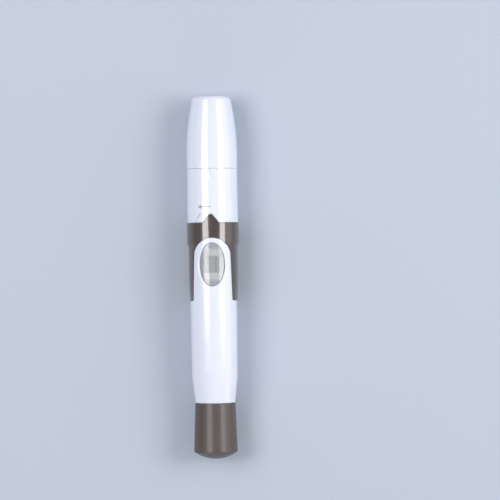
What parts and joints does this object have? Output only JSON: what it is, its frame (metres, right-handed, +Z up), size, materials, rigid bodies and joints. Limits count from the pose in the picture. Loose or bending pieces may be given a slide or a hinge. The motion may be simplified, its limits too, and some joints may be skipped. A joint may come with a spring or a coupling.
{
  "type": "lancing device",
  "caption": "Pen-shaped lancing device with a pull-off cap and depth dial, an oval release button in a tongue over the grip, and a sprung cocking knob at the tail.",
  "frame": {"origin": "centre of the device's length and width, on the surface it lies on", "axes": "+Y along the device towards the nose, +X across it, +Z up through the release button"},
  "size_m": [0.0183, 0.1268, 0.0192],
  "materials": {
    "white_plastic": "gloss",
    "taupe_plastic": "satin gloss",
    "smoke_plastic": "clear smoky",
    "natural_plastic": "matt",
    "spring_steel": "bright drawn"
  },
  "bodies": {
    "housing": {"guide_tube": "white_plastic", "grip_sleeve": "taupe_plastic", "rear_barrel": "white_plastic", "spring_seat": "natural_plastic", "return_spring": "spring_steel", "drive_spring": "spring_steel", "knob_spring": "spring_steel", "button_spring": "spring_steel"},
    "cap": {"cap_sleeve": "white_plastic"},
    "dial": {"nose_dial": "white_plastic"},
    "button": {"release_button": "smoke_plastic"},
    "knob": {"cocking_knob": "taupe_plastic", "knob_end_plug": "taupe_plastic", "draw_tube": "natural_plastic"},
    "carrier": {"lancet_holder": "natural_plastic", "plunger": "natural_plastic", "draw_rod": "spring_steel"}
  },
  "joints": [
    {"name": "cap_pull", "type": "slide", "parent": "housing", "child": "cap", "axis": [0, 1, 0], "range_m": [0, 0.05]},
    {"name": "dial_turn", "type": "hinge", "parent": "cap", "child": "dial", "pos_m": [0, 0.0381, 0.00915], "axis": [0, 1, 0], "range_deg": [0, 64]},
    {"name": "button_press", "type": "slide", "parent": "housing", "child": "button", "axis": [0, 0, -1], "range_m": [0, 0.0011], "stiffness_N_per_m": 200, "springref_m": -0.0005, "deforming": ["button_spring"]},
    {"name": "knob_pull", "type": "slide", "parent": "housing", "child": "knob", "axis": [0, -1, 0], "range_m": [0, 0.009], "stiffness_N_per_m": 120, "springref_m": -0.004, "deforming": ["knob_spring", "drive_spring"]},
    {"name": "carrier_stroke", "type": "slide", "parent": "knob", "child": "carrier", "axis": [0, 1, 0], "range_m": [-0.006, 0.0025], "stiffness_N_per_m": 150, "deforming": ["return_spring", "drive_spring"]}
  ]
}
